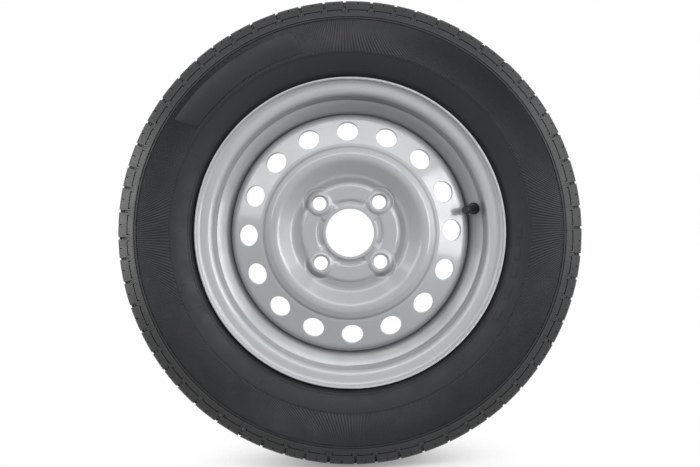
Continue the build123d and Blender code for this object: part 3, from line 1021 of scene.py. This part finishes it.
# %% Valve body and cap
cap_joint = next(joint for joint in frame["joints"] if joint["name"] == "cap_turn")
valve_seat = Vector(cap_joint["pos_m"])
valve_out = Vector(cap_joint["axis"]).normalized()
valve_side = valve_out.cross(Vector((0, 0, 1))).normalized()
valve_frame = Matrix.Translation(valve_seat) @ Matrix(
    (valve_side, valve_out, valve_side.cross(valve_out))
).transposed().to_4x4()
body_corners = [
    (3.05, -9.1), (5.2, -9.1), (8, -3.4), (8, -1.5), (5.55, -1.5), (5.55, 1.5), (7.2, 1.5),
    (7.2, 3.4), (5.6, 7.5), (4.7, 21), (3.65, 21), (3.65, 11), (3.05, 9.8),
]
body_bends = [1, 1.5, 0.6, 0.2, 0.2, 0.8, 1.6, 3, 0.5, 0.05, 0.05]
cap_corners = [
    (3.95, 21.3), (4.9, 21.3), (4.9, 30.9), (3.7, 33.2), (0, 33.2), (0, 30.6), (3.95, 30.6),
]
cap_bends = [0.4, 1.2, 1.2, 0.02, 0.02]
cap_ribs = 20
rib_cut = 0.17 * mm
rib_ends = (22.2 * mm, 22.8 * mm, 30 * mm, 30.8 * mm)
cap_wall = 4.45 * mm
rib_slack = 0.1 * mm

body_section = [
    (radius * mm, place * mm) for radius, place in rounded_line(body_corners, body_bends, 4)
]
valve_body = turned("valve_rubber_body", body_section, 48)
valve_body.data.transform(valve_frame)
close_up(valve_body, sharp=50)

cap_line = rounded_line(cap_corners, cap_bends, 4)
cap_section = [(radius * mm, place * mm) for radius, place in cap_line]
side_rows = [(cap_corners[1][0] * mm, place) for place in rib_ends]
last_low = max(
    index for index, spot in enumerate(cap_section) if spot[1] < rib_ends[0] and spot[0] > cap_wall
)
cap_section[last_low + 1 : last_low + 1] = side_rows
cap = turned("valve_cap_ribbed", cap_section, cap_ribs * 8)
for point in cap.data.vertices:
    radius = hypot(point.co.x, point.co.z)
    if radius > cap_wall and rib_ends[0] + rib_slack < point.co.y < rib_ends[3] - rib_slack:
        angle = atan2(point.co.z, point.co.x)
        share = 1 - rib_cut / radius * (0.5 - 0.5 * cos(cap_ribs * angle)) * 2
        point.co.x *= share
        point.co.z *= share
cap.data.transform(valve_frame)
close_up(cap, sharp=50)

# %% [markdown]
# ## Core spring
# The spring in the valve gets shorter when the pin is pressed. A solid node can't follow
# that, so a copy of it takes its place. Its points are merged.

start_clean()
nodes["core_spring"].select_set(True)
bpy.context.view_layer.objects.active = nodes["core_spring"]
bpy.ops.object.duplicate(linked=False)
spring = bpy.context.object
spring.name = "valve_core_spring"
spring.data.name = spring.name

# A copy carries the solid's own tags, and this one is a piece by itself.
for tag in list(spring.keys()):
    del spring[tag]
close_up(spring, sharp=40)

# %% [markdown]
# ## Finishes
# Every finish is made of nodes on Object coordinates, so that it stays in place when a
# part moves. Noise at several sizes does most of the work: large patches change the tone
# a little, middle ones the gloss, and the finest one is a bump. Helpers keep the trees
# short: one adds a node and wires it, one makes noise, one chains bumps.

# %% Finish helpers
def finish(name):
    """A new material with its node tree, its shader and its Object coordinates."""
    made = bpy.data.materials.new(name)
    made.use_nodes = True
    tree = made.node_tree
    place = tree.nodes.new("ShaderNodeTexCoord").outputs["Object"]
    return made, tree, tree.nodes["Principled BSDF"], place


def wire(tree, socket, value):
    """Gives a socket a value, or a link where the value is another node's output."""
    if isinstance(value, bpy.types.NodeSocket):
        tree.links.new(value, socket)
    else:
        socket.default_value = value


def add(tree, kind, inputs, output=0, **settings):
    """Adds a node with its settings and inputs, and gives one of its outputs."""
    node = tree.nodes.new("ShaderNode" + kind)
    for key, value in settings.items():
        setattr(node, key, value)
    for key, value in inputs.items():
        wire(tree, node.inputs[key], value)
    return node.outputs[output]


def noise(tree, place, scale, low, high, detail=3):
    """Noise of a scale, spread from low to high."""
    grain = add(tree, "TexNoise", {"Vector": place, "Scale": scale, "Detail": detail})
    spread = {"Value": grain, "From Min": 0.3, "From Max": 0.7, "To Min": low, "To Max": high}
    return add(tree, "MapRange", spread)


def sums(tree, kind, one, other):
    """One arithmetic step."""
    return add(tree, "Math", {0: one, 1: other}, operation=kind)


def mixed(tree, share, one, other):
    """A colour between two others."""
    return add(tree, "Mix", {0: share, 6: one, 7: other}, output=2, data_type="RGBA")


def bumped(tree, shader, layers):
    """Chains bumps, given as (height, distance, strength), into the shader's normal."""
    normal = None
    for height, distance, strength in layers:
        inputs = {"Height": height, "Distance": distance, "Strength": strength}
        if normal:
            inputs["Normal"] = normal
        normal = add(tree, "Bump", inputs)
    tree.links.new(normal, shader.inputs["Normal"])


def wheel_radius(tree, place):
    """The distance from the axle, as a node output."""
    flat = add(tree, "VectorMath", {0: place, 1: (1, 0, 1)}, operation="MULTIPLY")
    return add(tree, "VectorMath", {0: flat}, output=1, operation="LENGTH")


print("finish helpers ready")

# %% [markdown]
# ## Tyre rubber
# Tyre rubber is nearly black, but soot, mould wax and wear make its tone and gloss uneven.
# An image could be painted for that. Noise needs no image and has no seam, so it is used
# here, with fine rings from the turned mould and a greyer, glossier ring at the shoulder. That
# ring is partly where the tyre scuffs and partly painted sheen, for the light that the double rib
# catches.

# %% Tyre rubber
# The shoulder's greyer ring: partly scuffing, partly painted sheen on the double rib.
scuff_sheen_start = 247 * mm
scuff_sheen_end = 251 * mm
scuff_sheen_tone = (0.03, 0.031, 0.033, 1)
scuff_gloss = 0.72


def make_rubber(name, dark, light, rough_low, rough_high, scuffed_with_sheen=False):
    """Moulded black rubber: slightly uneven tone and gloss, a fine grain and the faint
    rings that the turned mould leaves. The tyre's shoulder gets a greyer, glossier ring, partly
    from scuffing and partly as painted sheen."""
    made, tree, shader, place = finish(name)
    tone = mixed(tree, noise(tree, place, 14, 0, 1, 4), dark, light)
    rough = noise(tree, place, 60, rough_low, rough_high, 4)
    if scuffed_with_sheen:
        # The greyer ring is partly scuffing and partly painted sheen for the light that the double rib
        # catches.
        edge = {"Value": wheel_radius(tree, place), "From Min": scuff_sheen_start, "From Max": scuff_sheen_end}
        scuff_and_sheen = sums(tree, "MULTIPLY", add(tree, "MapRange", edge), noise(tree, place, 30, 0.6, 1))
        tone = mixed(tree, scuff_and_sheen, tone, scuff_sheen_tone)
        polish = add(tree, "MapRange", {"Value": scuff_and_sheen, "To Min": 1, "To Max": scuff_gloss})
        rough = sums(tree, "MULTIPLY", rough, polish)
    wire(tree, shader.inputs["Base Color"], tone)
    wire(tree, shader.inputs["Roughness"], rough)
    shader.inputs["Specular IOR Level"].default_value = 0.33
    turns = sums(tree, "MULTIPLY", wheel_radius(tree, place), 2 * pi / (1.7 * mm))
    mould_rings = sums(tree, "SINE", turns, 0)
    middle = noise(tree, place, 160, 0, 1)
    fine = noise(tree, place, 900, 0, 1)
    bumped(tree, shader, [
        (mould_rings, 0.02 * mm, 0.35), (middle, 0.12 * mm, 0.35), (fine, 0.06 * mm, 0.5),
    ])
    return made


tyre_rubber = make_rubber(
    "tyre_rubber", (0.011, 0.012, 0.0135, 1), (0.018, 0.019, 0.021, 1), 0.42, 0.58, scuffed_with_sheen=True
)
print(tyre_rubber.name)

# %% [markdown]
# ## Silver paint
# The steel is sprayed with silver paint under a clear coat. The coat mirrors the soft
# boxes sharply, while the paint below it scatters, so the shader has both layers. The low
# rings and the crevices between disc and rim get painted shade, which also takes some of
# the coat's gloss. It is laid on by the distance from the axle, which follows the rings without any
# painting by hand.

# %% Silver paint
seam_turn = radians(-56)

# Painted shade on a ring: its radius, half its width, the darker tone that it paints and the gloss it
# takes.
moat_shade = (63 * mm, 5.5 * mm, 0.6, 0.6)
bowl_shade = (77 * mm, 12 * mm, 0.8, 0)
edge_shade = (142.5 * mm, 4.5 * mm, 0.6, 0)
well_shade = (143 * mm, 4.5 * mm, 0.42, 0)
wall_shade = (150 * mm, 8 * mm, 0.8, 0.9)


def make_silver(name, colour, seam=False, rough_weld=False, shade_rings=()):
    """Silver paint under a clear coat: fine flakes, an orange-peel skin, the small
    unevenness of pressed steel and painted shade on rings. The rim also shows its welded seam."""
    made, tree, shader, place = finish(name)
    shade = tuple(0.9 * part for part in colour[:3]) + (1,)
    patches = noise(tree, place, 9, 0, 1, 3)
    flakes = noise(tree, place, 2600, 0, 0.5, 1)
    share = sums(tree, "MULTIPLY_ADD", patches, 0.5)
    tree.links.new(flakes, share.node.inputs[2])
    tone = mixed(tree, share, shade, colour)
    coat = 1
    # Each ring paints shade into the colour, darkest across its middle, and takes some of the clear
    # coat there.
    for radius, half, dull, matt in shade_rings:
        reach = sums(tree, "SUBTRACT", wheel_radius(tree, place), radius)
        near = {"Value": sums(tree, "ABSOLUTE", reach, 0), "From Min": 0.4 * half,
                "From Max": half, "To Min": 1, "To Max": 0}
        shade_mask = sums(tree, "MULTIPLY", add(tree, "MapRange", near), noise(tree, place, 40, 0.75, 1))
        tone = mixed(tree, shade_mask, tone, tuple(dull * part for part in colour[:3]) + (1,))
        coat = sums(tree, "SUBTRACT", coat, sums(tree, "MULTIPLY", shade_mask, matt))
    wire(tree, shader.inputs["Base Color"], tone)
    shader.inputs["Metallic"].default_value = 0.15
    wire(tree, shader.inputs["Roughness"], noise(tree, place, 45, 0.36, 0.5))
    wire(tree, shader.inputs["Coat Weight"], coat)
    wire(tree, shader.inputs["Coat Roughness"], noise(tree, place, 30, 0.08, 0.15))
    dents = noise(tree, place, 24, 0, 1, 2)
    peel = noise(tree, place, 420, 0, 1, 2)
    layers = [(dents, 0.5 * mm, 0.12), (peel, 0.05 * mm, 0.3)]
    if rough_weld:
        layers.append((noise(tree, place, 260, 0, 1, 5), 0.4 * mm, 0.6))
    if seam:
        axes = add(tree, "SeparateXYZ", {0: place})
        turn = sums(tree, "ARCTAN2", axes.node.outputs[2], axes)
        beside = sums(tree, "ABSOLUTE", sums(tree, "SUBTRACT", turn, seam_turn), 0)
        ridge = {"Value": beside, "From Min": 0.002, "From Max": 0.011, "To Min": 1, "To Max": 0}
        layers.append((add(tree, "MapRange", ridge), 0.35 * mm, 0.7))
    bumped(tree, shader, layers)
    return made


silver = (0.47, 0.485, 0.5, 1)
# The disc gets painted shade in its moat, its bowl and at its edge in the crevice by the rim.
disc_paint = make_silver("disc_paint", silver, shade_rings=(moat_shade, bowl_shade, edge_shade))
# The rim gets painted shade in its well by the disc's edge and on its well wall.
rim_paint = make_silver(
    "rim_paint", (0.51, 0.525, 0.54, 1), seam=True, shade_rings=(well_shade, wall_shade)
)
weld_paint = make_silver("weld_paint", (0.46, 0.465, 0.47, 1), rough_weld=True)
print(disc_paint.name, rim_paint.name, weld_paint.name)

# %% [markdown]
# ## Valve finishes
# The valve has a rubber body, a plastic cap, brass inside and a steel spring. The rubber
# and the plastic take the tyre's finish with other tones and gloss. Turned metal is plain
# metal with tarnish and fine scratches, all from noise at the small size of the valve.

# %% Valve finishes
def make_metal(name, dark, light, rough):
    """Bare turned metal with fine scratches and a little tarnish."""
    made, tree, shader, place = finish(name)
    tarnish = noise(tree, place, 350, 0, 1, 4)
    wire(tree, shader.inputs["Base Color"], mixed(tree, tarnish, dark, light))
    shader.inputs["Metallic"].default_value = 1
    wire(tree, shader.inputs["Roughness"], noise(tree, place, 900, rough, rough + 0.15))
    bumped(tree, shader, [(noise(tree, place, 3000, 0, 1), 0.01 * mm, 0.4)])
    return made


valve_rubber = make_rubber(
    "valve_rubber", (0.014, 0.014, 0.015, 1), (0.022, 0.022, 0.024, 1), 0.4, 0.55
)
seal_rubber = make_rubber("seal_rubber", (0.02, 0.02, 0.021, 1), (0.04, 0.04, 0.042, 1), 0.5, 0.7)
cap_plastic = make_rubber("cap_plastic", (0.016, 0.016, 0.018, 1), (0.026, 0.026, 0.028, 1), 0.34, 0.5)
stem_brass = make_metal("stem_brass", (0.5, 0.34, 0.13, 1), (0.72, 0.52, 0.25, 1), 0.25)
core_brass = make_metal("core_brass", (0.5, 0.36, 0.17, 1), (0.7, 0.52, 0.28, 1), 0.28)
spring_steel = make_metal("spring_steel", (0.36, 0.36, 0.37, 1), (0.52, 0.52, 0.53, 1), 0.3)
print("valve finishes ready")

# %% [markdown]
# ## Put the pieces in place
# A modelled piece rides on the body that carries it and takes the place of the solid that
# it refines. The other solids stay and only get their finish.

# %% Ride, replace and dress
def place_piece(piece, node, body, material):
    """Sets a modelled piece in place of a solid."""
    piece.data.materials.clear()
    piece.data.materials.append(material)
    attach(piece, body)
    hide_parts(node)


for piece in (tyre_sides, tread, tyre_marks):
    place_piece(piece, "tyre", "wheel", tyre_rubber)
place_piece(disc, "disc", "wheel", disc_paint)
place_piece(weld_runs, "weld_beads", "wheel", weld_paint)
place_piece(valve_body, "valve_body", "wheel", valve_rubber)
place_piece(cap, "valve_cap", "valve_cap", cap_plastic)
place_piece(spring, "core_spring", "wheel", spring_steel)
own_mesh(spring)
solid_finishes = {
    "rim": rim_paint,
    "valve_stem": stem_brass,
    "core_plug": core_brass,
    "core_barrel": core_brass,
    "core_pin": core_brass,
    "core_barrel_seal": seal_rubber,
    "core_seat_seal": seal_rubber,
    "cap_seal": seal_rubber,
}
for name, material in solid_finishes.items():
    nodes[name].data.materials.clear()
    nodes[name].data.materials.append(material)
print(f"{len(solid_finishes)} solids dressed")
